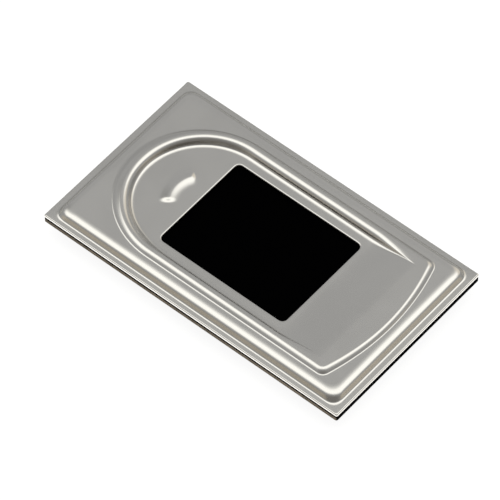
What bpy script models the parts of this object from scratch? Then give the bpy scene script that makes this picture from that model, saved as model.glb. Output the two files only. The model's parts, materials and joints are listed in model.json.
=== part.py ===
"""Panel-mount fingerprint sensor module.

A stamped steel bezel with a finger channel carries a glass sensor over a black circuit board, and a
plastic tray closes the back. Metres, +Z up. The origin is the centre of the tray's underside, +Y
points to the fingertip end of the channel, and the finger enters from -Y.
"""

import math

import bmesh
import bpy
import numpy as np

MM = 0.001
GAP = 0.04 * MM  # clearance between pieces that touch

# Driving dimensions of the bezel, seen from above.
PLATE_HALF_WIDTH = 14.66 * MM
PLATE_HALF_LENGTH = 25.0 * MM
PLATE_CORNER = 0.2 * MM
SHEET = 0.35 * MM  # thickness of the stamped sheet
WALL_RUN = 0.6 * MM  # how far a drawn wall leans over its height
BEND_SHIFT = SHEET * math.tan(math.radians(30.0))  # an underside crease sits this far from its own

FLANGE_TOP = 3.7 * MM
PLATEAU_TOP = FLANGE_TOP + 1.0 * MM
RIM_TOP = FLANGE_TOP + 1.5 * MM
FLOOR_TOP = FLANGE_TOP + 0.5 * MM

PLATEAU_HALF_WIDTH = 13.77 * MM
PLATEAU_HALF_LENGTH = 23.9 * MM
PLATEAU_CORNER = 1.2 * MM

ARCH_Y = 9.85 * MM  # centre of the channel's round end
RIM_FOOT = 11.7 * MM
RIM_FOOT_TIP = 12.25 * MM  # the outer slope is gentler at the fingertip
RIM_OUTER = 11.2 * MM
RIM_INNER = 10.28 * MM
CHANNEL_HALF_WIDTH = 9.6 * MM
RIM_END_Y = -20.1 * MM  # the rim's entry corners
RIM_END_SAG = 1.9 * MM  # how far the entry edge bows out between them
RAMP_START_Y = -11.8 * MM
RAMP_END_Y = -17.4 * MM
FLOOR_INNER = 8.9 * MM

WINDOW_HALF_WIDTH = 8.1 * MM
WINDOW_HALF_LENGTH = 10.6 * MM
WINDOW_CORNER = 0.8 * MM

BEAD_INNER = 3.6 * MM
BEAD_OUTER = 5.8 * MM
BEAD_HEIGHT = 0.32 * MM
BEAD_HALF_ANGLE = math.radians(37.0)

# The stack under the bezel.
BOARD_BOTTOM = 2.4 * MM
BOARD_TOP = 3.0 * MM
BOARD_CORNER = 0.3 * MM
GLASS_BOTTOM = 3.2 * MM
GLASS_TOP = 3.6 * MM
GLASS_HALF_WIDTH = 9.15 * MM
GLASS_HALF_LENGTH = 11.5 * MM
FLEX = 0.12 * MM
FLEX_HALF_WIDTH = 4.0 * MM
FLEX_TOP_Z = 3.12 * MM
FLEX_LOW_Z = 1.98 * MM
FLEX_BEND_Y = -14.9 * MM
SLOT_INNER_Y = FLEX_BEND_Y
SLOT_OUTER_Y = -16.0 * MM

# The tray behind the board, its screws and the standoffs that they enter.
TRAY_HALF_WIDTH = 12.4 * MM
TRAY_HALF_LENGTH = 22.8 * MM
TRAY_CORNER = 2.0 * MM
TRAY_WALL = 0.8 * MM
TRAY_FLOOR = 0.5 * MM
TRAY_TOP = 2.3 * MM
NOTCH_HALF_WIDTH = 6.5 * MM
NOTCH_Y = 16.8 * MM
SCREW_X = 9.3 * MM
SCREW_Y = 19.3 * MM
BOSS_RADIUS = 2.0 * MM
BOSS_TOP = 1.05 * MM
COUNTERBORE_RADIUS = 1.4 * MM
COUNTERBORE_DEPTH = 0.62 * MM
STANDOFF_RADIUS = 1.6 * MM
STANDOFF_BORE = 0.75 * MM
SCREW_SHANK = 0.6 * MM
SCREW_HEAD = 1.25 * MM

PART_TOP = BOARD_BOTTOM - GAP  # components are soldered under the board
PANEL_Z = PART_TOP - 0.2 * MM  # the gasket's underside, which meets the host panel

# Flip-lock connectors hang under the board; their depth runs from the back to the cable's mouth.
CONNECTOR_HEIGHT = 0.96 * MM
CONNECTOR_DEPTH = 3.4 * MM
CONNECTOR_BACK = 1.6 * MM  # depth of the closed block behind the latch
CONNECTOR_CHEEK = 0.45 * MM
CONNECTOR_LIP = 0.2 * MM
CABLE = 0.3 * MM  # height of the slot that a flat cable enters
THROAT_BACK = 0.9 * MM  # how near the slot comes to the connector's back
LATCH_THICK = 0.4 * MM
LATCH_PIVOT_DROP = 0.74 * MM  # from the board side of the connector down to the hinge axis
LATCH_PIVOT_IN = 0.35 * MM  # from the closed block to the hinge axis

SIDE_POINTS = 14
CORNER_POINTS = 14
END_POINTS = 9


def clear_scene():
    for thing in list(bpy.data.objects):
        bpy.data.objects.remove(thing, do_unlink=True)


def material(name, colour, roughness, metallic):
    made = bpy.data.materials.new(name)
    made.use_nodes = True
    shader = made.node_tree.nodes["Principled BSDF"]
    shader.inputs["Base Color"].default_value = (*colour, 1.0)
    shader.inputs["Roughness"].default_value = roughness
    shader.inputs["Metallic"].default_value = metallic
    return made


def add_object(name, bm, finish, smooth_angle=None, parent=None, location=(0.0, 0.0, 0.0)):
    bmesh.ops.recalc_face_normals(bm, faces=bm.faces)
    mesh = bpy.data.meshes.new(name)
    bm.to_mesh(mesh)
    bm.free()
    if smooth_angle is not None:
        mesh.shade_smooth()
        mesh.set_sharp_from_angle(angle=math.radians(smooth_angle))
    if finish is not None:
        mesh.materials.append(finish)
    made = bpy.data.objects.new(name, mesh)
    bpy.context.collection.objects.link(made)
    made.location = location
    made.parent = parent
    return made


def add_form(name, bm):
    """A cutter or an added form, which is not a piece itself."""
    form = add_object(name, bm, None)
    form.hide_render = True
    form.display_type = "WIRE"
    return form


def combine(target, form, operation):
    boolean = target.modifiers.new(form.name, "BOOLEAN")
    boolean.object = form
    boolean.operation = operation
    boolean.solver = "EXACT"


def bevel(target, width, segments=1):
    edge = target.modifiers.new("edge", "BEVEL")
    edge.width = width
    edge.segments = segments
    edge.limit_method = "ANGLE"
    edge.angle_limit = math.radians(40.0)


def rounded_rectangle(half_width, half_length, radius, points=6):
    """Corner points of an outline in the XY plane, anticlockwise."""
    outline = []
    for start, sign_x, sign_y in ((0, 1, 1), (90, -1, 1), (180, -1, -1), (270, 1, -1)):
        centre_x = sign_x * (half_width - radius)
        centre_y = sign_y * (half_length - radius)
        for step in range(points + 1):
            angle = math.radians(start + 90.0 * step / points)
            outline.append((centre_x + radius * math.cos(angle), centre_y + radius * math.sin(angle)))
    return outline


def skin_loops(bm, loops, cyclic):
    """Quads between neighbouring closed loops; the ends are capped unless the loops are cyclic."""
    rings = [[bm.verts.new(point) for point in loop] for loop in loops]
    count = len(rings[0])
    pairs = list(zip(rings, rings[1:]))
    if cyclic:
        pairs.append((rings[-1], rings[0]))
    for low, high in pairs:
        for i in range(count):
            j = (i + 1) % count
            bm.faces.new((low[i], low[j], high[j], high[i]))
    if not cyclic:
        bm.faces.new(list(reversed(rings[0])))
        bm.faces.new(rings[-1])


def prism(outline, low, high):
    bm = bmesh.new()
    skin_loops(bm, [[(x, y, z) for x, y in outline] for z in (low, high)], cyclic=False)
    return bm


def frame_prism(outer, inner, low, high):
    """A flat ring between two outlines with the same number of points."""
    bm = bmesh.new()
    loops = [[(x, y, z) for x, y in outline] for outline, z in
             ((outer, low), (outer, high), (inner, high), (inner, low))]
    skin_loops(bm, loops, cyclic=True)
    return bm


def box(low, high):
    outline = ((low[0], low[1]), (high[0], low[1]), (high[0], high[1]), (low[0], high[1]))
    return prism(outline, low[2], high[2])


def turned(bm, profile, centre, segments=24, hollow=False):
    """Turns (radius, z) points about a vertical axis at centre."""
    loops = []
    for radius, z in profile:
        angles = (2.0 * math.pi * i / segments for i in range(segments))
        loops.append([(centre[0] + radius * math.cos(a), centre[1] + radius * math.sin(a), z) for a in angles])
    skin_loops(bm, loops, cyclic=hollow)
    return bm


def strip(path, thickness, half_width, x=0.0):
    """A flat strip that follows (y, z) points, with its width along X."""
    points = np.array(path)
    along = np.gradient(points, axis=0)
    along /= np.linalg.norm(along, axis=1)[:, None]
    across = np.column_stack((-along[:, 1], along[:, 0])) * thickness / 2.0
    section = np.vstack((points + across, (points - across)[::-1]))
    bm = bmesh.new()
    skin_loops(bm, [[(x + side * half_width, y, z) for y, z in section] for side in (-1, 1)], cyclic=False)
    return bm


def arc(centre, radius, start, end, steps):
    """(y, z) points of an arc, angles in degrees."""
    angles = np.radians(np.linspace(start, end, steps + 1))
    return [(centre[0] + radius * math.cos(a), centre[1] + radius * math.sin(a)) for a in angles]


# Bezel


def floor_height(y):
    """The channel's floor is level, then ramps up to the rim towards the entry."""
    climb = (RAMP_START_Y - y) / (RAMP_START_Y - RAMP_END_Y)
    return FLOOR_TOP + (RIM_TOP - FLOOR_TOP) * min(max(climb, 0.0), 1.0)


def bezel_loop(half_width, top_y, top_radii, end_y, end_radius, height, sag=0.0, flare=0.0):
    """One crease of the stamping: two top corners, two sides and a bowed entry end.

    top_radii are the top corners' radii across and along the plate. flare widens the loop beside the
    ramp. height is a number or a function of y.
    """
    across, along = top_radii
    points = []
    for step in range(CORNER_POINTS + 1):
        angle = math.radians(90.0 * step / CORNER_POINTS)
        points.append((half_width - across + across * math.cos(angle),
                       top_y - along + along * math.sin(angle)))
    right = points[::-1]
    side_top, side_low = top_y - along, end_y + end_radius
    for step in range(1, SIDE_POINTS + 1):
        right.append((half_width, side_top + (side_low - side_top) * step / (SIDE_POINTS + 1)))
    for step in range(7):
        angle = math.radians(-15.0 * step)
        right.append((half_width - end_radius + end_radius * math.cos(angle),
                      end_y + end_radius + end_radius * math.sin(angle)))
    inner_x = half_width - end_radius
    for step in range(1, END_POINTS // 2 + 1):
        right.append((inner_x * (1.0 - 2.0 * step / (END_POINTS + 1)), end_y))
    left = [(-x, y) for x, y in right[::-1]]
    outline = []
    for x, y in right + [(0.0, end_y)] + left:
        if y <= end_y + end_radius:
            y -= sag * (1.0 - (x / half_width) ** 2)
        beside_ramp = min(max((RAMP_START_Y - y) / (RAMP_START_Y - RAMP_END_Y), 0.0), 1.0)
        x += flare * beside_ramp * x / half_width
        outline.append((x, y, height(y) if callable(height) else height))
    return outline


def bezel_surface(shift, drop):
    """The creases of one side of the sheet, from the flange's edge in to the window."""
    plateau = PLATEAU_HALF_WIDTH - shift
    plateau_y = PLATEAU_HALF_LENGTH - shift
    shoulder = plateau - WALL_RUN
    shoulder_y = plateau_y - WALL_RUN
    corner = (PLATEAU_CORNER, PLATEAU_CORNER)
    foot = RIM_FOOT - shift
    outer = RIM_OUTER - shift
    inner = RIM_INNER + shift
    channel = CHANNEL_HALF_WIDTH + shift
    tip = RIM_FOOT_TIP - shift

    def floor(y):
        return floor_height(y) - drop

    return [
        bezel_loop(PLATE_HALF_WIDTH, PLATE_HALF_LENGTH, (PLATE_CORNER, PLATE_CORNER),
                   -PLATE_HALF_LENGTH, PLATE_CORNER, FLANGE_TOP - drop),
        bezel_loop(plateau, plateau_y, corner, -plateau_y, PLATEAU_CORNER, FLANGE_TOP - drop),
        bezel_loop(shoulder, shoulder_y, corner, -shoulder_y, PLATEAU_CORNER, PLATEAU_TOP - drop),
        bezel_loop(foot, ARCH_Y + tip, (foot, tip), RIM_END_Y + shift, 1.0 * MM,
                   PLATEAU_TOP - drop, sag=RIM_END_SAG),
        bezel_loop(outer, ARCH_Y + outer, (outer, outer), RIM_END_Y + 0.4 * MM + shift, 0.8 * MM,
                   RIM_TOP - drop, sag=RIM_END_SAG),
        bezel_loop(inner, ARCH_Y + inner, (inner, inner), RAMP_END_Y - 0.4 * MM - shift, 0.5 * MM,
                   RIM_TOP - drop, flare=-0.45 * MM),
        bezel_loop(channel, ARCH_Y + channel, (channel, channel), RAMP_END_Y - shift, 0.4 * MM,
                   floor, flare=0.26 * MM),
        bezel_loop(FLOOR_INNER, ARCH_Y + FLOOR_INNER, (FLOOR_INNER, FLOOR_INNER), RAMP_START_Y,
                   0.4 * MM, FLOOR_TOP - drop),
        bezel_loop(WINDOW_HALF_WIDTH, WINDOW_HALF_LENGTH, (WINDOW_CORNER, WINDOW_CORNER),
                   -WINDOW_HALF_LENGTH, WINDOW_CORNER, FLOOR_TOP - drop),
    ]


def bead_form():
    """The curved locating bead, deep enough to join the floor that it rises from."""
    section = ((0.0, -0.6), (0.0, 0.0), (0.14, 0.65), (0.35, 1.0), (0.65, 1.0), (0.86, 0.65), (1.0, 0.0),
               (1.0, -0.6))
    loops = []
    steps = 16
    for step in range(steps + 1):
        place = 2.0 * step / steps - 1.0
        angle = math.pi / 2.0 - place * BEAD_HALF_ANGLE
        crown = BEAD_HEIGHT * (0.25 if abs(place) == 1.0 else 1.0)
        loop = []
        for across, up in section:
            radius = BEAD_INNER + (BEAD_OUTER - BEAD_INNER) * across
            height = FLOOR_TOP + up * (crown if up > 0.0 else BEAD_HEIGHT)
            loop.append((radius * math.cos(angle), ARCH_Y + radius * math.sin(angle), height))
        loops.append(loop)
    bm = bmesh.new()
    skin_loops(bm, loops, cyclic=False)
    return add_form("bead_form", bm)


def build_bezel(finish):
    top = bezel_surface(0.0, 0.0)
    under = bezel_surface(BEND_SHIFT, SHEET)
    under[0] = [(x, y, FLANGE_TOP - SHEET) for x, y, _ in top[0]]
    bm = bmesh.new()
    skin_loops(bm, top + under[::-1], cyclic=True)
    bmesh.ops.remove_doubles(bm, verts=bm.verts, dist=1e-7)
    bmesh.ops.dissolve_degenerate(bm, edges=bm.edges, dist=1e-7)
    bezel = add_object("bezel", bm, finish, smooth_angle=20)
    combine(bezel, bead_form(), "UNION")


# Sensor and board


def build_tape(finish):
    outer = rounded_rectangle(PLATE_HALF_WIDTH - 0.1 * MM, PLATE_HALF_LENGTH - 0.1 * MM, 0.9 * MM)
    inner = rounded_rectangle(PLATEAU_HALF_WIDTH, PLATEAU_HALF_LENGTH, 0.9 * MM)
    add_object("bezel_tape", frame_prism(outer, inner, BOARD_TOP + GAP, FLANGE_TOP - SHEET - GAP), finish)


def build_sensor(glass, rubber, foam, plastic):
    low, high = GLASS_TOP + GAP, FLOOR_TOP - SHEET - GAP
    outer = rounded_rectangle(9.0 * MM, 11.4 * MM, 1.0 * MM)
    inner = rounded_rectangle(WINDOW_HALF_WIDTH + 0.1 * MM, WINDOW_HALF_LENGTH + 0.1 * MM, WINDOW_CORNER)
    add_object("sensor_gasket", frame_prism(outer, inner, low, high), rubber)

    pane = rounded_rectangle(GLASS_HALF_WIDTH, GLASS_HALF_LENGTH, 0.5 * MM)
    sensor = add_object("sensor_glass", prism(pane, GLASS_BOTTOM, GLASS_TOP), glass)
    bevel(sensor, 0.08 * MM)

    pad_bottom, pad_top = BOARD_TOP + GAP, GLASS_BOTTOM - GAP
    add_object("sensor_pad", box((-8.0 * MM, -8.8 * MM, pad_bottom), (8.0 * MM, 10.5 * MM, pad_top)), foam)

    outer = rounded_rectangle(12.2 * MM, 14.2 * MM, 1.0 * MM)
    inner = rounded_rectangle(GLASS_HALF_WIDTH + 0.12 * MM, GLASS_HALF_LENGTH + 0.12 * MM, 0.5 * MM)
    carrier = add_object("sensor_carrier", frame_prism(outer, inner, BOARD_TOP + GAP, GLASS_TOP), plastic)
    passage = add_form("flex_passage", box((-FLEX_HALF_WIDTH - 0.4 * MM, -15.0 * MM, BOARD_TOP),
                                           (FLEX_HALF_WIDTH + 0.4 * MM, -11.0 * MM, FLEX_TOP_Z + FLEX)))
    combine(carrier, passage, "DIFFERENCE")


def build_flex(finish):
    """The sensor's tail leaves the glass, turns through the board's slot and runs back to its socket."""
    radius = (FLEX_TOP_Z - FLEX_LOW_Z) / 2.0
    turn = arc((FLEX_BEND_Y, FLEX_LOW_Z + radius), radius, 90.0, 270.0, 16)
    path = [(-9.3 * MM, FLEX_TOP_Z), (-12.0 * MM, FLEX_TOP_Z)] + turn + [(-9.9 * MM, FLEX_LOW_Z)]
    add_object("sensor_flex", strip(path, FLEX, FLEX_HALF_WIDTH), finish, smooth_angle=30)


def build_board(finish):
    outline = rounded_rectangle(PLATE_HALF_WIDTH, PLATE_HALF_LENGTH, BOARD_CORNER, points=8)
    board = add_object("main_board", prism(outline, BOARD_BOTTOM, BOARD_TOP), finish)
    slot = add_form("board_slot", box((-5.0 * MM, SLOT_OUTER_Y, 2.0 * MM), (5.0 * MM, SLOT_INNER_Y, 3.4 * MM)))
    combine(board, slot, "DIFFERENCE")


def build_panel_gasket(finish):
    """A foam ring on the board's border, which seats and seals the module on its host panel."""
    outer = rounded_rectangle(PLATE_HALF_WIDTH - 0.3 * MM, PLATE_HALF_LENGTH - 0.3 * MM, BOARD_CORNER)
    inner = rounded_rectangle(TRAY_HALF_WIDTH + 0.3 * MM, TRAY_HALF_LENGTH + 0.3 * MM, BOARD_CORNER)
    add_object("panel_gasket", frame_prism(outer, inner, PANEL_Z, PART_TOP), finish)


def build_ground_springs(finish):
    """Bent strips that press on the bezel's underside and ground it."""
    foot_z = BOARD_TOP + GAP + 0.06 * MM
    for index, side in enumerate((-1, 1), start=1):
        bend = arc((22.2 * MM, foot_z + 0.25 * MM), 0.25 * MM, -90.0, 60.0, 8)
        tip = arc((20.3 * MM, 4.0 * MM), 0.2 * MM, 60.0, 180.0, 6)
        path = [(19.6 * MM, foot_z)] + bend + tip
        name = f"ground_spring_{index}"
        add_object(name, strip(path, 0.1 * MM, 0.6 * MM, x=side * 9.6 * MM), finish, smooth_angle=30)


# Components under the board


def build_chip(name, centre, size, finish, edge):
    half_x, half_y = size[0] / 2.0, size[1] / 2.0
    low = (-half_x, -half_y, PART_TOP - size[2])
    chip = add_object(name, box(low, (half_x, half_y, PART_TOP)), finish, location=(*centre, 0.0))
    bevel(chip, edge)


def build_components(moulding, can, ferrite, ceramic):
    chips = {
        "processor_chip": ((-4.2, 3.0), (7.0, 7.0, 0.85), moulding, 0.1),
        "flash_chip": ((5.4, 4.2), (5.0, 6.0, 0.75), moulding, 0.08),
        "driver_chip": ((-2.0, -4.8), (4.0, 4.0, 0.75), moulding, 0.08),
        "crystal": ((-9.6, 9.2), (2.5, 3.2, 0.7), can, 0.12),
        "regulator": ((4.2, -3.6), (2.0, 2.0, 0.75), moulding, 0.06),
        "inductor": ((8.2, -5.2), (3.0, 3.0, 1.2), ferrite, 0.15),
    }
    for name, (centre, size, finish, edge) in chips.items():
        build_chip(name, [c * MM for c in centre], [s * MM for s in size], finish, edge * MM)
    places = ((-9.6, 4.6), (-9.6, 2.2), (-9.6, -0.2), (0.7, 8.4), (8.2, -0.6), (4.2, -6.4))
    for index, (x, y) in enumerate(places, start=1):
        build_chip(f"capacitor_{index}", (x * MM, y * MM), (1.6 * MM, 0.8 * MM, 0.8 * MM), ceramic, 0.06 * MM)


def build_connector(name, half_width, mouth_y, facing, latch_length, housing, actuator):
    """A flip-lock socket for a flat cable. facing is +1 where its mouth looks along +Y."""

    def at(depth):
        return mouth_y - facing * (CONNECTOR_DEPTH - depth)

    def plate(outline, half):
        bm = bmesh.new()
        skin_loops(bm, [[(side * half, y, z) for y, z in outline] for side in (-1, 1)], cyclic=False)
        return bm

    bottom = PART_TOP - CONNECTOR_HEIGHT
    cable_low = PART_TOP - CONNECTOR_LIP
    cable_high = cable_low - CABLE
    inside = half_width - CONNECTOR_CHEEK
    whole = [(at(0.0), PART_TOP), (at(0.0), bottom), (at(CONNECTOR_DEPTH), bottom),
             (at(CONNECTOR_DEPTH), PART_TOP)]
    body = add_object(f"{name}_connector", plate(whole, half_width), housing)
    recess = [(at(CONNECTOR_BACK), cable_low), (at(CONNECTOR_BACK), bottom - GAP),
              (at(CONNECTOR_DEPTH) + facing * GAP, bottom - GAP),
              (at(CONNECTOR_DEPTH) + facing * GAP, cable_low)]
    combine(body, add_form(f"{name}_recess", plate(recess, inside)), "DIFFERENCE")
    throat = [(at(THROAT_BACK), cable_low), (at(THROAT_BACK), cable_high),
              (at(CONNECTOR_BACK + 0.1 * MM), cable_high), (at(CONNECTOR_BACK + 0.1 * MM), cable_low)]
    combine(body, add_form(f"{name}_throat", plate(throat, inside - 0.1 * MM)), "DIFFERENCE")

    hinge = bpy.data.objects.new(f"{name}_latch_axis", None)
    bpy.context.collection.objects.link(hinge)
    hinge.location = (0.0, at(CONNECTOR_BACK + LATCH_PIVOT_IN), PART_TOP - LATCH_PIVOT_DROP)
    half = LATCH_THICK / 2.0
    start = 90.0 if facing > 0 else -90.0
    reach = facing * latch_length
    lip = facing * 0.3 * MM
    outline = arc((0.0, 0.0), half, start, start + 180.0, 8)
    outline += [(reach - lip, -half * facing), (reach, -half * 0.2 * facing), (reach, half * facing)]
    add_object(f"{name}_latch", plate(outline, inside - 0.1 * MM), actuator, smooth_angle=30, parent=hinge)


# Back


def screw_places():
    return [(x, y) for y in (-SCREW_Y, SCREW_Y) for x in (-SCREW_X, SCREW_X)]


def build_tray(finish):
    outline = rounded_rectangle(TRAY_HALF_WIDTH, TRAY_HALF_LENGTH, TRAY_CORNER)
    foot = rounded_rectangle(TRAY_HALF_WIDTH - 0.3 * MM, TRAY_HALF_LENGTH - 0.3 * MM, TRAY_CORNER - 0.3 * MM)
    bm = bmesh.new()
    loops = [[(x, y, z) for x, y in shape] for shape, z in ((foot, 0.0), (outline, 0.3 * MM), (outline, TRAY_TOP))]
    skin_loops(bm, loops, cyclic=False)
    tray = add_object("rear_cover", bm, finish)
    inside = rounded_rectangle(TRAY_HALF_WIDTH - TRAY_WALL, TRAY_HALF_LENGTH - TRAY_WALL, TRAY_CORNER - TRAY_WALL)
    combine(tray, add_form("tray_pocket", prism(inside, TRAY_FLOOR, TRAY_TOP + 1.0 * MM)), "DIFFERENCE")
    for index, place in enumerate(screw_places(), start=1):
        boss = turned(bmesh.new(), ((BOSS_RADIUS, 0.2 * MM), (BOSS_RADIUS, BOSS_TOP)), place)
        combine(tray, add_form(f"tray_boss_{index}", boss), "UNION")
        hole = ((COUNTERBORE_RADIUS, -0.5 * MM), (COUNTERBORE_RADIUS, COUNTERBORE_DEPTH),
                (SCREW_SHANK + 0.25 * MM, COUNTERBORE_DEPTH), (SCREW_SHANK + 0.25 * MM, 2.0 * MM))
        combine(tray, add_form(f"tray_hole_{index}", turned(bmesh.new(), hole, place)), "DIFFERENCE")
    notch = box((-NOTCH_HALF_WIDTH, NOTCH_Y, -1.0 * MM), (NOTCH_HALF_WIDTH, 24.0 * MM, 4.0 * MM))
    combine(tray, add_form("cable_notch", notch), "DIFFERENCE")


def build_film(finish):
    film = box((-11.2 * MM, -7.4 * MM, TRAY_FLOOR + GAP), (11.2 * MM, 15.6 * MM, TRAY_FLOOR + GAP + 0.1 * MM))
    add_object("insulating_film", film, finish)


def build_fixings(brass, steel):
    head_top = COUNTERBORE_DEPTH - GAP
    head_low = head_top - 0.42 * MM
    for index, place in enumerate(screw_places(), start=1):
        low = BOSS_TOP + GAP
        ring = ((STANDOFF_RADIUS, low), (STANDOFF_RADIUS, PART_TOP), (STANDOFF_BORE, PART_TOP), (STANDOFF_BORE, low))
        standoff = turned(bmesh.new(), ring, place, hollow=True)
        add_object(f"standoff_{index}", standoff, brass, smooth_angle=30)

        profile = ((SCREW_HEAD - 0.2 * MM, head_low), (SCREW_HEAD, head_low + 0.15 * MM), (SCREW_HEAD, head_top),
                   (SCREW_SHANK, head_top), (SCREW_SHANK, 2.05 * MM), (SCREW_SHANK - 0.15 * MM, 2.2 * MM))
        screw = add_object(f"cover_screw_{index}", turned(bmesh.new(), profile, place), steel, smooth_angle=30)
        for turn, (long_x, long_y) in enumerate(((0.7, 0.13), (0.13, 0.7))):
            low = (place[0] - long_x * MM, place[1] - long_y * MM, head_low - 0.1 * MM)
            high = (place[0] + long_x * MM, place[1] + long_y * MM, head_low + 0.22 * MM)
            combine(screw, add_form(f"drive_{index}_{turn}", box(low, high)), "DIFFERENCE")


def main():
    clear_scene()
    steel = material("satin_steel", (0.36, 0.35, 0.33), 0.28, 1.0)
    black = material("black_plastic", (0.02, 0.02, 0.021), 0.45, 0.0)
    board_black = material("board_black", (0.03, 0.028, 0.026), 0.4, 0.0)
    ivory = material("connector_ivory", (0.72, 0.68, 0.58), 0.5, 0.0)
    build_bezel(steel)
    build_tape(material("adhesive_black", (0.01, 0.01, 0.01), 0.8, 0.0))
    build_sensor(material("sensor_black", (0.004, 0.004, 0.005), 0.12, 0.0),
                 material("gasket_rubber", (0.012, 0.012, 0.012), 0.7, 0.0),
                 material("foam_grey", (0.08, 0.08, 0.085), 0.95, 0.0),
                 black)
    build_flex(material("polyimide_amber", (0.42, 0.2, 0.04), 0.35, 0.0))
    build_board(board_black)
    build_panel_gasket(material("gasket_foam", (0.03, 0.03, 0.03), 0.9, 0.0))
    build_ground_springs(material("plated_gold", (0.85, 0.62, 0.28), 0.25, 1.0))
    build_components(material("chip_moulding", (0.025, 0.025, 0.027), 0.55, 0.0),
                     material("crystal_can", (0.75, 0.74, 0.72), 0.22, 1.0),
                     material("ferrite_grey", (0.06, 0.06, 0.065), 0.6, 0.0),
                     material("ceramic_tan", (0.36, 0.22, 0.13), 0.45, 0.0))
    actuator = material("latch_brown", (0.09, 0.055, 0.04), 0.45, 0.0)
    build_connector("host", 6.0 * MM, 20.6 * MM, 1, 1.45 * MM, ivory, actuator)
    build_connector("sensor", 4.75 * MM, -11.9 * MM, -1, 1.0 * MM, ivory, actuator)
    build_tray(black)
    build_film(material("film_white", (0.7, 0.7, 0.68), 0.6, 0.0))
    build_fixings(material("standoff_brass", (0.78, 0.57, 0.3), 0.3, 1.0),
                  material("screw_steel", (0.6, 0.59, 0.58), 0.3, 1.0))


main()
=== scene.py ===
import json
import math

import bmesh
import bpy
import numpy as np
from mathutils import Matrix, Vector


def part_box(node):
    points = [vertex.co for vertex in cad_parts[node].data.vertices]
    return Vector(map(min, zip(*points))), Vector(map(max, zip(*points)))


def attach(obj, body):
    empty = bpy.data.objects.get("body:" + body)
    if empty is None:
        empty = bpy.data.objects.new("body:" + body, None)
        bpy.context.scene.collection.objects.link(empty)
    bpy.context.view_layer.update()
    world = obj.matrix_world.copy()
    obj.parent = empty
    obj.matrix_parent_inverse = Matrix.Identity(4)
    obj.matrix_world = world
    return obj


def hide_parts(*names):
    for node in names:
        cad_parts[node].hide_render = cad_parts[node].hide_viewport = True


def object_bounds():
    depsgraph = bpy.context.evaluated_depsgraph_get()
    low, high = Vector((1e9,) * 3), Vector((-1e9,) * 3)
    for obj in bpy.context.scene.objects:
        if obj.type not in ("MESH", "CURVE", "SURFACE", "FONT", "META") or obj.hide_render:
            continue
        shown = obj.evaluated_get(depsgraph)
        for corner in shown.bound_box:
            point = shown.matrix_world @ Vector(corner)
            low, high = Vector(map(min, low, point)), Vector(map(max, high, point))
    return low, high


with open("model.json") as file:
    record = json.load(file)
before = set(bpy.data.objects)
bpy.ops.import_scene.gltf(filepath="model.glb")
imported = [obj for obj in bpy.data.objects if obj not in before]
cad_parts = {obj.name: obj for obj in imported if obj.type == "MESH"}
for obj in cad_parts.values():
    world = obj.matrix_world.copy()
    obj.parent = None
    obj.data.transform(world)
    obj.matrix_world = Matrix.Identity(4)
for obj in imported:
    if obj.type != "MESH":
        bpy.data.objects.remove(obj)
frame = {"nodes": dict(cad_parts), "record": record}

cadLow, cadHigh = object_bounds()  # the box that everything below stays inside
mm = 0.001
print("frame loaded:", len(frame["nodes"]), "nodes")


# Ground and studio

studio = {
    "floorSize": 6.0,
    "floorWhite": 0.9,  # how much of the floor's paleness is its own, which keeps its shadow faint
    "floorColour": (0.2, 0.2, 0.2),
    "floorRoughness": 0.9,
    "tableTan": (0.70, 0.64, 0.55),  # what the steel reflects of the table on the viewer's side
    "tableGrey": (0.55, 0.55, 0.54),  # and on the far side
    "tableChange": (-0.1, 0.05),  # x + y in metres where tan gives way to grey
    "paperGlow": 1.5,  # how bright the lit sheet close round the part is in the steel
    "paperReach": (4.0 * mm, 9.0 * mm),  # how far past the part's edges that brightness fades
    "underneath": (0.6, 0.6, 0.59),
    "floorGap": 0.02 * mm,
    "viewerSide": (-0.766, -0.643),  # the flat direction towards the viewer
    "farGrey": (0.50, 0.50, 0.495),  # the far side of the room: high up, halfway, low down
    "farMiddle": (0.54, 0.54, 0.535),
    "farLow": (0.44, 0.44, 0.435),
    "farGreyHeights": (0.6, 0.8),
    "farMiddleHeights": (0.3, 0.52),
    "overheadWhite": (1.74, 1.72, 1.64),
    "overheadFar": (0.57, 0.24),  # lean of a direction away from the viewer: dark end, bright end
    "overheadNear": (0.32, 0.02),  # the same towards the viewer
    "overheadSides": (0.56, 0.76),  # height of a direction: dark end, bright end
    "sideWindow": (1.02, 0.95, 0.83),  # a warm window off to the right
    "sideWindowPlace": (0.853, -0.05, 0.52),
    "sideWindowEdge": (0.915, 0.985),  # cosines of the angles where it begins and is full
    "leftShade": (0.32, 0.32, 0.315),  # a darker patch of wall behind on the left
    "leftShadePlace": (0.16, 0.68, 0.715),
    "leftShadeEdge": (0.955, 0.99),
    "darkSide": (0.25, 0.24, 0.225),  # the room behind the viewer
    "darkSideLean": (0.15, 0.8),
    "lowTan": (0.68, 0.61, 0.50),  # what stands low round the table
    "lowTanLean": (-0.2, 0.15),
    "darkLow": (0.085, 0.07, 0.05),  # and just below the viewer
    "darkLowLean": (0.25, 0.9),
    "lowHeights": (0.04, 0.34),
    "underneathHeights": (-0.12, -0.02),
}


def link(tree, source, target):
    tree.links.new(source, target)


def addNode(tree, kind, **values):
    made = tree.nodes.new(kind)
    for key, value in values.items():
        setattr(made, key, value)
    return made


def mathNode(tree, operation, first, second=None):
    # one sum of two numbers or sockets
    made = addNode(tree, "ShaderNodeMath", operation=operation)
    for place, value in enumerate((first, second)):
        if value is None:
            continue
        if isinstance(value, (int, float)):
            made.inputs[place].default_value = value
        else:
            link(tree, value, made.inputs[place])
    return made.outputs[0]


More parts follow.
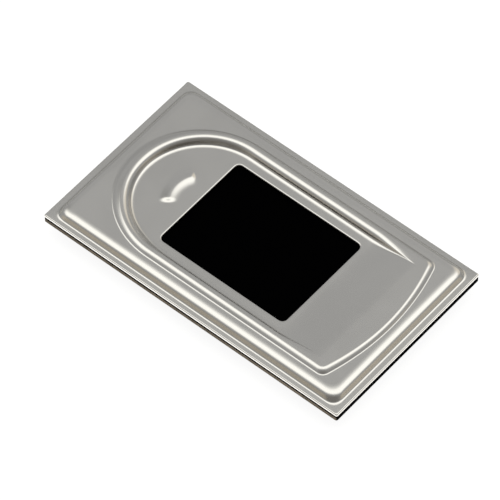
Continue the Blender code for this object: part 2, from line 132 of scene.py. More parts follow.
def mixColour(tree, share, first, second, blend="MIX"):
    # one colour mixed into another; each may be a socket or three numbers
    made = addNode(tree, "ShaderNodeMix", data_type="RGBA", blend_type=blend)
    for place, value in ((0, share), (6, first), (7, second)):
        if isinstance(value, (int, float)):
            made.inputs[place].default_value = value
        elif isinstance(value, tuple):
            made.inputs[place].default_value = (*value, 1.0)
        else:
            link(tree, value, made.inputs[place])
    return made.outputs[2]


def mapRange(tree, value, low, high, outLow=0.0, outHigh=1.0):
    # a smooth step from low to high
    made = addNode(tree, "ShaderNodeMapRange", interpolation_type="SMOOTHSTEP")
    link(tree, value, made.inputs[0])
    for place, number in enumerate((low, high, outLow, outHigh), start=1):
        made.inputs[place].default_value = number
    return made.outputs[0]


def flatSum(tree, x, y, xShare, yShare):
    # xShare x + yShare y
    return mathNode(tree, "ADD", mathNode(tree, "MULTIPLY", x, xShare), mathNode(tree, "MULTIPLY", y, yShare))


def buildSky():
    # The sky is a soft box overhead in a mid-grey room, darker on the viewer's side.
    world = bpy.data.worlds.new("studioSky")
    bpy.context.scene.world = world
    world.use_nodes = True
    tree = world.node_tree
    background = tree.nodes["Background"]
    where = addNode(tree, "ShaderNodeTexCoord").outputs["Generated"]
    split = addNode(tree, "ShaderNodeSeparateXYZ")
    link(tree, where, split.inputs[0])
    x, y, up = split.outputs
    viewerX, viewerY = studio["viewerSide"]
    toViewer = flatSum(tree, x, y, viewerX, viewerY)
    # the soft box's far edge curves away to both sides
    sideways = flatSum(tree, x, y, viewerY, -viewerX)
    curved = mathNode(tree, "ADD", toViewer, mathNode(tree, "MULTIPLY", sideways, sideways))
    farEnd = mapRange(tree, curved, -studio["overheadFar"][0], -studio["overheadFar"][1])
    nearEnd = mapRange(tree, toViewer, *studio["overheadNear"])
    sideEnds = mapRange(tree, up, *studio["overheadSides"])
    overhead = mathNode(tree, "MULTIPLY", mathNode(tree, "MULTIPLY", farEnd, nearEnd), sideEnds)
    middle = mapRange(tree, up, *studio["farMiddleHeights"])
    far = mixColour(tree, middle, studio["farLow"], studio["farMiddle"])
    far = mixColour(tree, mapRange(tree, up, *studio["farGreyHeights"]), far, studio["farGrey"])
    room = mixColour(tree, mapRange(tree, toViewer, *studio["darkSideLean"]), far, studio["darkSide"])
    low = mixColour(tree, mapRange(tree, toViewer, *studio["lowTanLean"]), studio["farLow"], studio["lowTan"])
    low = mixColour(tree, mapRange(tree, toViewer, *studio["darkLowLean"]), low, studio["darkLow"])
    sides = mixColour(tree, mapRange(tree, up, *studio["lowHeights"]), low, room)
    for patch in ("sideWindow", "leftShade"):
        towards = addNode(tree, "ShaderNodeVectorMath", operation="DOT_PRODUCT")
        link(tree, where, towards.inputs[0])
        towards.inputs[1].default_value = Vector(studio[patch + "Place"]).normalized()
        within = mapRange(tree, towards.outputs["Value"], *studio[patch + "Edge"])
        sides = mixColour(tree, within, sides, studio[patch])
    sides = mixColour(tree, mapRange(tree, up, *studio["underneathHeights"]), studio["underneath"], sides)
    link(tree, mixColour(tree, overhead, sides, studio["overheadWhite"]), background.inputs[0])
    background.inputs[1].default_value = 1.0
    print("sky done")


def buildFloor():
    # A pale sheet just under the part. In the steel it is a lit strip close round the part, on a table
    # that is tan on the viewer's side.
    half = studio["floorSize"] / 2.0
    z = cadLow.z - studio["floorGap"]
    corners = [(-half, -half, z), (half, -half, z), (half, half, z), (-half, half, z)]
    mesh = bpy.data.meshes.new("floor")
    mesh.from_pydata(corners, [], [(0, 1, 2, 3)])
    floor = bpy.data.objects.new("floor", mesh)
    bpy.context.scene.collection.objects.link(floor)
    paper = bpy.data.materials.new("floorPaper")
    paper.use_nodes = True
    tree = paper.node_tree
    shader = tree.nodes["Principled BSDF"]
    shader.inputs["Roughness"].default_value = studio["floorRoughness"]
    path = addNode(tree, "ShaderNodeLightPath").outputs
    seen = path["Is Camera Ray"]
    where = addNode(tree, "ShaderNodeTexCoord").outputs["Object"]
    split = addNode(tree, "ShaderNodeSeparateXYZ")
    link(tree, where, split.inputs[0])
    lean = mathNode(tree, "ADD", split.outputs[0], split.outputs[1])
    beyond = mapRange(tree, lean, *studio["tableChange"])
    table = mixColour(tree, beyond, studio["tableTan"], studio["tableGrey"])
    link(tree, mixColour(tree, seen, table, studio["floorColour"]), shader.inputs["Base Color"])
    past = [mathNode(tree, "SUBTRACT", mathNode(tree, "ABSOLUTE", split.outputs[axis]), cadHigh[axis])
            for axis in (0, 1)]
    glow = mapRange(tree, mathNode(tree, "MAXIMUM", *past), *studio["paperReach"], studio["paperGlow"], 0.0)
    shader.inputs["Emission Color"].default_value = (1.0, 1.0, 1.0, 1.0)
    own = mathNode(tree, "MULTIPLY", seen, studio["floorWhite"])
    mirrored = mathNode(tree, "MULTIPLY", mathNode(tree, "SUBTRACT", 1.0, seen), glow)
    link(tree, mathNode(tree, "ADD", own, mirrored), shader.inputs["Emission Strength"])
    # the sheet is clear from below and to soft light, so the part's underside isn't left black
    clear = mathNode(tree, "MAXIMUM", addNode(tree, "ShaderNodeNewGeometry").outputs["Backfacing"],
                     mathNode(tree, "MAXIMUM", path["Is Diffuse Ray"], path["Is Shadow Ray"]))
    either = addNode(tree, "ShaderNodeMixShader")
    link(tree, clear, either.inputs[0])
    link(tree, shader.outputs[0], either.inputs[1])
    link(tree, addNode(tree, "ShaderNodeBsdfTransparent").outputs[0], either.inputs[2])
    link(tree, either.outputs[0], tree.nodes["Material Output"].inputs[0])
    mesh.materials.append(paper)
    print("floor done")


camera = {
    "lens": 388.8,
    "sensor": 36.0,
    "back": (-0.4547, -0.3816, 0.8048),  # from the plate towards the viewer
    "distance": 708.45 * mm,
    "slide": 1.40 * mm,  # aim past the plate's centre, along the view's right
    "rise": 0.75 * mm,
}


def buildCamera():
    # The camera looks down on the plate's centre at the flange's height.
    back = Vector(camera["back"]).normalized()
    right = Vector((0, 0, 1)).cross(back).normalized()
    up = back.cross(right)
    centre = Vector((0.0, 0.0, cadHigh.z - bezel["rimRise"] * mm))
    data = bpy.data.cameras.new("studioCamera")
    data.lens = camera["lens"]
    data.sensor_width = camera["sensor"]
    data.clip_start = 0.01
    data.clip_end = 20.0
    seen = bpy.data.objects.new("studioCamera", data)
    bpy.context.scene.collection.objects.link(seen)
    place = centre + back * camera["distance"] - right * camera["slide"] - up * camera["rise"]
    turn = Matrix((right, up, back)).transposed().to_4x4()
    seen.matrix_world = Matrix.Translation(place) @ turn
    bpy.context.scene.camera = seen


# Surfaces worked out on a grid


def gridMesh(name, points, smoothAngle, material):
    # points is rows x stations x 3; quads join neighbours, and both rows and stations close round
    count, stations = points.shape[:2]
    index = np.arange(count * stations).reshape(count, stations)
    index = np.column_stack((index, index[:, 0]))
    index = np.vstack((index, index[:1]))
    quads = np.stack((index[:-1, :-1], index[:-1, 1:], index[1:, 1:], index[1:, :-1]), axis=-1)
    mesh = bpy.data.meshes.new(name)
    mesh.from_pydata(points.reshape(-1, 3).tolist(), [], quads.reshape(-1, 4).tolist())
    mesh.shade_smooth()
    mesh.set_sharp_from_angle(angle=math.radians(smoothAngle))
    mesh.materials.append(material)
    mesh.update()
    piece = bpy.data.objects.new(name, mesh)
    bpy.context.scene.collection.objects.link(piece)
    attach(piece, "module")
    return piece


def roundedProfile(corners, cuts, steps):
    # A polyline whose inner corners P are replaced by parabolas (1-s)^2 A + 2s(1-s) P + s^2 B. Each cut
    # is how far A lies before its corner and B after it.
    corners = np.array(corners, float)
    made = [corners[0]]
    share = np.linspace(0.0, 1.0, steps + 1)[:, None]
    for before, corner, after, (cutIn, cutOut) in zip(corners, corners[1:], corners[2:], cuts):
        start = corner + (before - corner) * cutIn / np.linalg.norm(before - corner)
        end = corner + (after - corner) * cutOut / np.linalg.norm(after - corner)
        made.extend((1 - share) ** 2 * start + 2 * share * (1 - share) * corner + share ** 2 * end)
    made.append(corners[-1])
    made = np.array(made)
    return made[:, 0], made[:, 1]


def smoothStep(value):
    # 3v^2 - 2v^3 between 0 and 1
    value = np.clip(value, 0.0, 1.0)
    return value * value * (3.0 - 2.0 * value)


def softOver(value, ease):
    # nothing below zero and the value itself above it, joined by a parabola within the ease
    return np.where(np.abs(value) < ease, (value + ease) ** 2 / (4.0 * ease), np.maximum(value, 0.0))


# Bezel: millimetres, heights above the flange, insets towards the middle of the plate

bezel = {
    "sheet": 0.35,
    "bendAngle": 30.0,  # half a typical bend, which moves the underside's corners inwards
    "edgeDrop": 0.3,
    "edgeCut": (0.2, 0.17),  # cuts are where a bend starts before its corner and ends after it
    "plateCorner": 0.25,
    "cornerShares": (0.4, 0.68),  # where a plate corner starts and ends on the stretch along the top
    "plateauInset": 0.87,
    "plateauInsetEnds": 1.03,
    "plateauCorner": 1.75,
    "plateauRise": 1.0,
    "wallRun": 0.6,
    "plateauFlat": 1.04,  # how far the plateau's rows go on past its shoulder
    "plateauCuts": ((0.2, 0.24), (0.52, 1.02)),
    "archY": 9.85,
    "rimFoot": 11.7,
    "rimFootTip": 12.25,
    "rimRun": 0.5,
    "rimRise": 1.5,
    "rimReach": (0.16, 0.38),  # rows before the rim's foot and past its shoulder
    "rimCuts": ((0.14, 0.12), (0.46, 0.37)),
    "entryCornerY": -20.1,
    "entryCorner": 1.0,
    "entryCornerTighten": 0.4,
    "entryLean": 0.8,  # share of an inset that the rim's entry end moves in
    "entrySag": 1.9,
    "innerShoulder": 10.14,
    "wallFoot": 9.77,
    "wallFootRise": 0.14,
    "channel": 9.41,
    "floorRise": 0.5,
    "channelReach": (0.67, 0.3),
    "channelCuts": ((0.66, 0.64), (0.22, 0.17), (0.2, 0.28)),
    "channelEndGap": 0.2,  # from the ramp's end to the channel's end
    "channelEndLean": 0.44,
    "channelEndCorner": 0.5,
    "narrowing": 0.45,  # how far the channel's shoulder draws in beside the ramp
    "narrowingLean": 0.78,
    "narrowingSpan": (-11.8, 5.6),
    "leftDraft": 0.35,  # round the fingertip end the left wall leans more: its foot stands further in
    "leftDraftSpan": (8.0, 5.0),
    "rampStart": -11.2,
    "rampEnd": -18.4,
    "windowHalfWidth": 8.1,
    "windowHalfLength": 10.6,
    "windowCorner": 0.95,
    "windowCornerShare": 0.29,
    "windowReach": 0.4,
    "windowCut": (0.2, 0.2),
    "beadInner": 3.6,
    "beadCrest": 4.7,
    "beadOuter": 5.8,
    "beadRise": 0.26,
    "beadHalfAngle": 38.0,
    "beadEnd": 0.7,
    "beadCrestEase": 0.6,  # shares of the slope's height over which the crest and the foot are round
    "beadFootEase": 0.4,
    "smoothAngle": 40.0,  # folds sharper than this stay crisp
    "fineBend": 9,  # rows of a bend on top
    "windowBend": 7,  # at the window's edge
    "underBend": 2,  # and underneath, where bends are nearly sharp
    "underSharpness": 0.15,
    "shelfRows": 8,  # rows across the plateau, and across the rim's crest
    "crestRows": 2,
    "floorRows": (90, 16),  # rows across the channel's floor, on top and underneath
    "endSteps": 40,
    "cornerSteps": 16,
    "sideSteps": 64,
    "topSteps": 72,
}


def stationShares():
    # shares 0 to 1 along the four stretches of a half outline: entry end, entry corner, side, top
    return [np.linspace(0.0, 1.0, bezel[key] + 1)[1:] for key in
            ("endSteps", "cornerSteps", "sideSteps", "topSteps")]


def wholeOutline(x, y):
    # mirrors right halves, given from the entry's middle round to the tip, into closed outlines
    right = np.stack((x, y), axis=-1)
    left = right[:, -2:0:-1] * (-1.0, 1.0)
    return np.concatenate((right, left), axis=1)


def cornerTurn(share):
    # a quarter turn whose bend builds up slowly: cosine and sine, each to the power of 0.8
    turn = np.radians(90.0 * share)
    return np.maximum(np.cos(turn), 0.0) ** 0.8, np.sin(turn) ** 0.8


def halfOutline(halfWidth, endY, endRadius, sideTop, topX, topY):
    # the entry end, its corner and the side are the same for every family of outlines
    end, corner, side, _ = stationShares()
    flat = halfWidth - endRadius
    across, along = cornerTurn(1.0 - corner)
    x = np.concatenate((0.0 * flat, flat * end, flat + endRadius * across,
                        halfWidth + 0.0 * side, topX), axis=1)
    y = np.concatenate((endY, endY + 0.0 * end, endY + endRadius * (1.0 - along),
                        endY + endRadius + (sideTop - endY - endRadius) * side, topY), axis=1)
    return x, y


def plateOutline(inset):
    # rounded rectangles: up the side, round the corner, along the top
    inset = inset[:, None]
    share = np.clip(inset / bezel["plateauInset"], 0.0, 1.0)
    halfWidth = plateHalfWidth - inset
    halfLength = plateHalfLength - inset - (bezel["plateauInsetEnds"] - bezel["plateauInset"]) * share
    radius = bezel["plateCorner"] + (bezel["plateauCorner"] - bezel["plateCorner"]) * share
    top = stationShares()[3]
    start, end = bezel["cornerShares"]
    up = np.clip(top / start, 0.0, 1.0)
    across, upward = cornerTurn(np.clip((top - start) / (end - start), 0.0, 1.0))
    along = np.clip((top - end) / (1.0 - end), 0.0, 1.0)
    x = (halfWidth - radius) * (1.0 - along) + radius * across
    sideTop = bezel["archY"] + (halfLength - radius - bezel["archY"]) * up
    y = sideTop + radius * upward
    x, y = halfOutline(halfWidth, -halfLength, radius, bezel["archY"], x, y)
    return wholeOutline(x, y)


def archTop(halfWidth, tip):
    # a quarter of an ellipse from the side up to the tip
    turn = np.radians(90.0 * stationShares()[3])
    return halfWidth * np.cos(turn), bezel["archY"] + tip * np.sin(turn)


def rimOutline(inset):
    # the raised rim's outer side: a round tip and a bowed entry end
    inset = inset[:, None]
    halfWidth = bezel["rimFoot"] - inset
    run = bezel["rimRun"]
    footTip, shoulderTip = bezel["rimFootTip"], bezel["rimFoot"] - run
    tips = (footTip + 1.0, footTip, shoulderTip, shoulderTip - 1.0)
    tip = np.interp(inset, (-1.0, 0.0, run, run + 1.0), tips)
    endY = bezel["entryCornerY"] + bezel["entryLean"] * inset
    radius = bezel["entryCorner"] - bezel["entryCornerTighten"] * inset
    x, y = halfOutline(halfWidth, endY, radius, bezel["archY"], *archTop(halfWidth, tip))
    bowed = bezel["endSteps"] + bezel["cornerSteps"] + 1
    y[:, :bowed] -= bezel["entrySag"] * (1.0 - (x[:, :bowed] / halfWidth) ** 2)
    return wholeOutline(x, y)


def channelOutline(inset):
    # The channel's side walls, which draw together beside the ramp until they meet its top. Left of
    # the fingertip end the foot is moved in by the draft times the share of the way to that side.
    inset = inset[:, None]
    halfWidth = bezel["innerShoulder"] - inset
    endY = bezel["rampEnd"] - bezel["channelEndGap"] + bezel["channelEndLean"] * inset
    radius = bezel["channelEndCorner"] + 0.0 * inset
    x, y = halfOutline(halfWidth, endY, radius, bezel["archY"], *archTop(halfWidth, halfWidth))
    start, span = bezel["narrowingSpan"]
    narrower = bezel["narrowing"] - bezel["narrowingLean"] * np.maximum(inset, 0.0)
    x = x - narrower * np.clip((start - y) / span, 0.0, 1.0) * x / halfWidth
    outline = wholeOutline(x, y)
    start, span = bezel["leftDraftSpan"]
    foot = smoothStep(inset / (bezel["innerShoulder"] - bezel["wallFoot"]))
    left = np.clip(-outline[..., 0] / halfWidth, 0.0, 1.0)
    outline[..., 0] += bezel["leftDraft"] * left * foot * smoothStep((outline[..., 1] - start) / span)
    return outline


def windowOutline(inset):
    # rounded rectangles round the sensor; the stations along the top stand under those of the arch
    inset = inset[:, None]
    halfWidth, halfLength = bezel["windowHalfWidth"] - inset, bezel["windowHalfLength"] - inset
    radius = bezel["windowCorner"] - inset
    top = stationShares()[3]
    cornerShare = bezel["windowCornerShare"]
    across, upward = cornerTurn(np.clip(top / cornerShare, 0.0, 1.0))
    spread = np.cos(np.radians(90.0 * np.maximum(top, cornerShare)))
    spread = spread / math.cos(math.radians(90.0 * cornerShare))
    x = (halfWidth - radius) * spread + radius * across
    y = halfLength - radius + radius * upward
    x, y = halfOutline(halfWidth, -halfLength, radius, halfLength - radius, x, y)
    return wholeOutline(x, y)


def rows(outline, insets, heights):
    # one row of points for each inset, each at its own height
    flat = outline(np.asarray(insets, float))
    lift = np.broadcast_to(np.asarray(heights, float)[:, None, None], flat.shape[:2] + (1,))
    return np.concatenate((flat, lift), axis=2)


def between(low, high, steps):
    # rows spread evenly between two rows of points
    share = np.linspace(0.0, 1.0, steps + 2)[1:-1, None, None]
    return low[-1:] * (1.0 - share) + high[:1] * share


def rampShare(y):
    # 0 at the ramp's start and 1 at its end, with soft ends
    return smoothStep((bezel["rampStart"] - y) / (bezel["rampStart"] - bezel["rampEnd"]))


def beadLift(x, y):
    # a ring segment round the arch's centre: it climbs from the inner edge to a crest, falls
    # slowly to the outer edge, and drops off short at both ends
    reach = np.hypot(x, y - bezel["archY"])
    turn = np.abs(np.arctan2(x, y - bezel["archY"]))
    climb = (reach - bezel["beadInner"]) / (bezel["beadCrest"] - bezel["beadInner"])
    fall = (bezel["beadOuter"] - reach) / (bezel["beadOuter"] - bezel["beadCrest"])
    along = (math.radians(bezel["beadHalfAngle"]) - turn) * reach / bezel["beadEnd"]
    roof = climb - softOver(climb - fall, bezel["beadCrestEase"])
    return bezel["beadRise"] * softOver(roof, bezel["beadFootEase"]) * smoothStep(along)


def bezelSide(shift, drop, fine):
    # All rows of one side of the sheet, from the flange's edge in to the window. The underside is
    # shifted inwards and dropped by the sheet's thickness, and its bends are nearly sharp.
    plateauRise, rimRise, floorRise = bezel["plateauRise"], bezel["rimRise"], bezel["floorRise"]

    def bent(corners, cuts, steps=bezel["fineBend"] if fine else bezel["underBend"]):
        # one profile of the sheet: insets and heights
        share = 1.0 if fine else bezel["underSharpness"]
        inset, height = roundedProfile(corners, [(a * share, b * share) for a, b in cuts], steps)
        return inset, height - drop

    foot = bezel["plateauInset"] + shift
    shoulder = foot + bezel["wallRun"]
    edge, cuts = [(0.0, 0.0)], bezel["plateauCuts"]
    if fine:
        edge, cuts = [(0.0, -bezel["edgeDrop"]), (0.0, 0.0)], (bezel["edgeCut"], *cuts)
    profile = edge + [(foot, 0.0), (shoulder, plateauRise), (shoulder + bezel["plateauFlat"], plateauRise)]
    plate = rows(plateOutline, *bent(profile, cuts))

    run = bezel["rimRun"]
    before, after = bezel["rimReach"]
    profile = [(-before, plateauRise), (0.0, plateauRise), (run, rimRise), (run + after, rimRise)]
    inset, height = bent(profile, bezel["rimCuts"])
    rim = rows(rimOutline, inset + shift, height)

    wall = bezel["innerShoulder"] - bezel["wallFoot"]
    toe = bezel["innerShoulder"] - bezel["channel"]
    before, after = bezel["channelReach"]
    profile = [(-before, rimRise), (0.0, rimRise), (wall, floorRise + bezel["wallFootRise"]),
               (toe, floorRise), (toe + after, floorRise)]
    inset, height = bent(profile, bezel["channelCuts"])
    channel = rows(channelOutline, inset - shift, height)

    profile, cuts = [(-bezel["windowReach"], floorRise), (0.0, floorRise)], []
    if fine:
        profile, cuts = profile + [(0.0, floorRise - bezel["sheet"])], [bezel["windowCut"]]
    window = rows(windowOutline, *bent(profile, cuts, bezel["windowBend"]))
    floorRows = between(channel, window, bezel["floorRows"][0 if fine else 1])
    inner = np.concatenate((channel, floorRows, window))
    top = rimRise - drop
    inner[..., 2] = top - (top - inner[..., 2]) * (1.0 - rampShare(inner[..., 1]))
    if fine:  # the bead stands on the floor, and the window's cut edge below it stays as it is
        inner[..., 2] += beadLift(inner[..., 0], inner[..., 1]) * (inner[..., 2] > floorRise - 0.01)
    shelf = between(plate, rim, bezel["shelfRows"])
    crest = between(rim, inner, bezel["crestRows"])
    return np.concatenate((plate, shelf, rim, crest, inner))


def buildBezel():
    # The stamped sheet: its top and its underside are joined round the flange and round the window.
    bend = bezel["sheet"] * math.tan(math.radians(bezel["bendAngle"]))
    top = bezelSide(0.0, 0.0, fine=True)
    under = bezelSide(bend, bezel["sheet"], fine=False)
    points = np.concatenate((top, under[::-1])) * mm
    points[..., 2] += flangeZ
    piece = gridMesh("bezelSheet", points, bezel["smoothAngle"], satinSteel())
    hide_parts("bezel")
    print("bezel done:", len(piece.data.polygons), "faces")


# Contacts of the flat cable sockets

contacts = {
    "pitch": 0.5,
    "width": 0.22,
    "thick": 0.06,
    "hostCount": 21,
    "sensorCount": 15,
    "throat": 0.95,  # from the socket's back to where a contact's beam starts
    "beamEnd": 3.2,
    "beamSteps": 17,
    "lip": 0.204,  # how far the beam lies under the socket's top
    "crown": 0.1,  # how far the contact point dips towards the cable
    "crownPlace": 2.35,
    "crownWidth": 0.3,
    "tail": 0.4,  # how far the soldered tails stand out behind
    "tailRoot": 0.02,
    "tailTaper": 0.1,
    "gold": (0.86, 0.62, 0.27),
    "goldRoughness": 0.22,
}


def contactProfiles(top):
    # Closed outlines in Y and Z: the beam follows height = top - lip - crown e^-((y - place) / width)^2,
    # and the tail is a strip that is thicker at its root.
    thick = contacts["thick"]
    along = np.linspace(contacts["throat"], contacts["beamEnd"], contacts["beamSteps"])
    dip = contacts["crown"] * np.exp(-((along - contacts["crownPlace"]) / contacts["crownWidth"]) ** 2)
    upper = top - contacts["lip"] - dip
    beam = np.concatenate((np.column_stack((along, upper)), np.column_stack((along, upper - thick))[::-1]))
    root, end = contacts["tailRoot"], -contacts["tail"]
    under = top - thick
    tail = np.array([(root, top), (end, top), (end, under), (root, under - contacts["tailTaper"])])
    return beam, tail


def contactRow(name, node, count, facing):
    # Sprung beams along the socket's lip and flat tails behind it. Each closed profile is drawn out to
    # the contact's width and repeated at the pitch.
    low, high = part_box(node)
    back = (low.y if facing > 0 else high.y) / mm
    places = (np.arange(count) - (count - 1) / 2.0) * contacts["pitch"]
    ends = np.array([-0.5, 0.5]) * contacts["width"]
    points, faces = [], []
    for profile in contactProfiles(high.z / mm):
        size = len(profile)
        first = sum(len(made) for made in points)
        block = np.empty((count, 2, size, 3))
        block[..., 0] = (places[:, None] + ends)[:, :, None]
        block[..., 1] = back + facing * profile[:, 0]
        block[..., 2] = profile[:, 1]
        points.append(block.reshape(-1, 3))
        index = first + np.arange(count * 2 * size).reshape(count, 2, size)
        turned = np.roll(index, -1, axis=2)
        sides = np.stack((index[:, 0], turned[:, 0], turned[:, 1], index[:, 1]), axis=-1)
        faces += sides.reshape(-1, 4).tolist() + index[:, 0, ::-1].tolist() + index[:, 1].tolist()
    mesh = bpy.data.meshes.new(name)
    mesh.from_pydata((np.concatenate(points) * mm).tolist(), [], faces)
    mesh.materials.append(plainFinish("goldPlate", contacts["gold"], contacts["goldRoughness"], 1.0))
    outwardFaces(mesh)
    piece = bpy.data.objects.new(name, mesh)
    bpy.context.scene.collection.objects.link(piece)
    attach(piece, "module")
    print(name, "done:", len(mesh.polygons), "faces")


def outwardFaces(mesh):
    # turns every face of closed bodies outwards
    shape = bmesh.new()
    shape.from_mesh(mesh)
    bmesh.ops.recalc_face_normals(shape, faces=shape.faces)
    shape.to_mesh(mesh)
    shape.free()


# Finishes

finishes = {
    "steel": ((0.592, 0.584, 0.565), (0.608, 0.600, 0.581)),  # the two ends of its slow clouding
    "steelRoughness": (0.19, 0.21),
    "cloudScale": 120.0,
    "grainScale": 9000.0,
    "grainDepth": 0.01 * mm,
    "grainStrength": 0.02,
    "noiseEnds": (0.3, 0.7),  # where a noise reaches a finish's two ends
}


def newMaterial(name, colour, roughness, metallic=0.0, specular=0.5):
    made = bpy.data.materials.new(name)
    made.use_nodes = True
    shader = made.node_tree.nodes["Principled BSDF"]
    shader.inputs["Base Color"].default_value = (*colour, 1.0)
    shader.inputs["Roughness"].default_value = roughness
    shader.inputs["Metallic"].default_value = metallic
    shader.inputs["Specular IOR Level"].default_value = specular
    return made, made.node_tree, shader


def objectNoise(tree, scale, detail=3.0, stretch=(1.0, 1.0, 1.0), roughness=0.6):
    # noise in the object's own metres
    where = addNode(tree, "ShaderNodeTexCoord").outputs["Object"]
    mapping = addNode(tree, "ShaderNodeMapping")
    mapping.inputs["Scale"].default_value = stretch
    link(tree, where, mapping.inputs[0])
    noise = addNode(tree, "ShaderNodeTexNoise")
    noise.inputs["Scale"].default_value = scale
    noise.inputs["Detail"].default_value = detail
    noise.inputs["Roughness"].default_value = roughness
    link(tree, mapping.outputs[0], noise.inputs["Vector"])
    return noise.outputs["Fac"]


def addBump(tree, shader, height, strength, distance):
    bump = addNode(tree, "ShaderNodeBump")
    bump.inputs["Strength"].default_value = strength
    bump.inputs["Distance"].default_value = distance
    link(tree, height, bump.inputs["Height"])
    link(tree, bump.outputs[0], shader.inputs["Normal"])


def satinSteel():
    # fine blasted grain with slow clouding in the sheen
    made, tree, shader = newMaterial("satinSteel", finishes["steel"][0], finishes["steelRoughness"][0], 1.0)
    grain = objectNoise(tree, finishes["grainScale"], 2.0)
    cloud = objectNoise(tree, finishes["cloudScale"])
    colour = mixColour(tree, mapRange(tree, cloud, *finishes["noiseEnds"]), *finishes["steel"])
    link(tree, colour, shader.inputs["Base Color"])
    gloss = mapRange(tree, cloud, *finishes["noiseEnds"], *finishes["steelRoughness"])
    link(tree, gloss, shader.inputs["Roughness"])
    addBump(tree, shader, grain, finishes["grainStrength"], finishes["grainDepth"])
    return made


plain = {
    "scale": 3000.0,
    "spread": 0.12,  # how far the colour drifts either way, as a share of itself
    "roughnessShares": (0.9, 1.1),
    "strength": 0.1,
    "depth": 0.02 * mm,
}


def plainFinish(name, colour, roughness, metallic=0.0, specular=0.5):
    # a moulded or plated surface: slight change of colour and gloss with a fine grain
    made, tree, shader = newMaterial(name, colour, roughness, metallic, specular)
    noise = objectNoise(tree, plain["scale"])
    dark = tuple(c * (1.0 - plain["spread"]) for c in colour)
    light = tuple(min(c * (1.0 + plain["spread"]), 1.0) for c in colour)
    link(tree, mixColour(tree, mapRange(tree, noise, *finishes["noiseEnds"]), dark, light),
         shader.inputs["Base Color"])
    gloss = [min(roughness * share, 1.0) for share in plain["roughnessShares"]]
    link(tree, mapRange(tree, noise, *finishes["noiseEnds"], *gloss), shader.inputs["Roughness"])
    addBump(tree, shader, noise, plain["strength"], plain["depth"])
    return made


def objectSplit(tree):
    split = addNode(tree, "ShaderNodeSeparateXYZ")
    link(tree, addNode(tree, "ShaderNodeTexCoord").outputs["Object"], split.inputs[0])
    return split.outputs


def facing(tree, axis, low, high):
    # 0 to 1 as a face turns to look along the axis, either way
    split = addNode(tree, "ShaderNodeSeparateXYZ")
    link(tree, addNode(tree, "ShaderNodeNewGeometry").outputs["Normal"], split.inputs[0])
    return mapRange(tree, mathNode(tree, "ABSOLUTE", split.outputs[axis]), low, high)


def stripes(tree, along, pitch, width):
    # stripes across one axis: 1 on each stripe, with edges as soft as 0.06 of the pitch
    wave = mathNode(tree, "PINGPONG", along, pitch / 2.0)
    return mapRange(tree, wave, width / 2.0, width / 2.0 - pitch * 0.06)


board = {
    "mask": (0.006, 0.0065, 0.007),
    "maskOverCopper": (0.014, 0.013, 0.012),
    "glassFibre": (0.34, 0.29, 0.23),
    "glassFibreDark": (0.10, 0.085, 0.068),
    # painted shade: the short edges are painted near-black, standing for the shade they lie in
    "paintedShadeEnds": (0.004, 0.004, 0.004),
    "roughness": (0.34, 0.46),
    "trackPitch": 0.9 * mm,
    "trackWidth": 0.28 * mm,
    "ply": 0.075 * mm,
    "plyShare": 0.35,  # how strongly the plies show against the grain
    "grainScale": 2600.0,
    "breakScale": 260.0,  # the noise that breaks the tracks up
    "breakEnds": (0.47, 0.53),
    "speckleEnds": (0.35, 0.85),  # where the cut edge's grain is darkest and lightest
    "shortEdge": (0.4, 0.8),  # how squarely a face looks along Y where the painted shade of the short ends begins and is full
    "flatFace": (0.5, 0.9),  # and along Z, for the solder mask
    "grainShare": 0.3,
    "strength": 0.4,
    "depth": 0.03 * mm,
}


def boardFinish():
    # Black solder mask over raised tracks on both faces. The long edges show the cut glass fibre in
    # fine plies, and the short ones are painted near-black as shade.
    made, tree, shader = newMaterial("boardBlack", board["mask"], board["roughness"][0], specular=0.0)
    x, y, z = objectSplit(tree)
    tracks = mathNode(tree, "MAXIMUM", stripes(tree, x, board["trackPitch"], board["trackWidth"]),
                      stripes(tree, y, board["trackPitch"] * 2.0, board["trackWidth"]))
    broken = mapRange(tree, objectNoise(tree, board["breakScale"], 1.0), *board["breakEnds"])
    tracks = mathNode(tree, "MULTIPLY", tracks, broken)
    face = mixColour(tree, tracks, board["mask"], board["maskOverCopper"])
    grain = objectNoise(tree, board["grainScale"], stretch=(1.0, 0.3, 1.0))
    plies = mathNode(tree, "MULTIPLY", stripes(tree, z, board["ply"], board["ply"] / 2.0), board["plyShare"])
    speckle = mapRange(tree, mathNode(tree, "ADD", grain, plies), *board["speckleEnds"])
    fibre = mixColour(tree, speckle, board["glassFibreDark"], board["glassFibre"])
    # painted shade: faces that look along Y take near-black in place of the cut fibre
    edge = mixColour(tree, facing(tree, 1, *board["shortEdge"]), fibre, board["paintedShadeEnds"])
    flat = facing(tree, 2, *board["flatFace"])
    link(tree, mixColour(tree, flat, edge, face), shader.inputs["Base Color"])
    link(tree, mapRange(tree, grain, *finishes["noiseEnds"], *board["roughness"]), shader.inputs["Roughness"])
    height = mathNode(tree, "ADD", tracks, mathNode(tree, "MULTIPLY", grain, board["grainShare"]))
    addBump(tree, shader, height, board["strength"], board["depth"])
    return made


flex = {
    "film": (0.46, 0.21, 0.035),
    "overTrack": (0.62, 0.33, 0.07),
    "pitch": 0.5 * mm,
    "width": 0.26 * mm,
    "cloudScale": 900.0,
    "cloudDark": (0.9, 0.9, 0.9),
    "roughness": (0.28, 0.38),
    "strength": 0.3,
    "depth": 0.02 * mm,
}


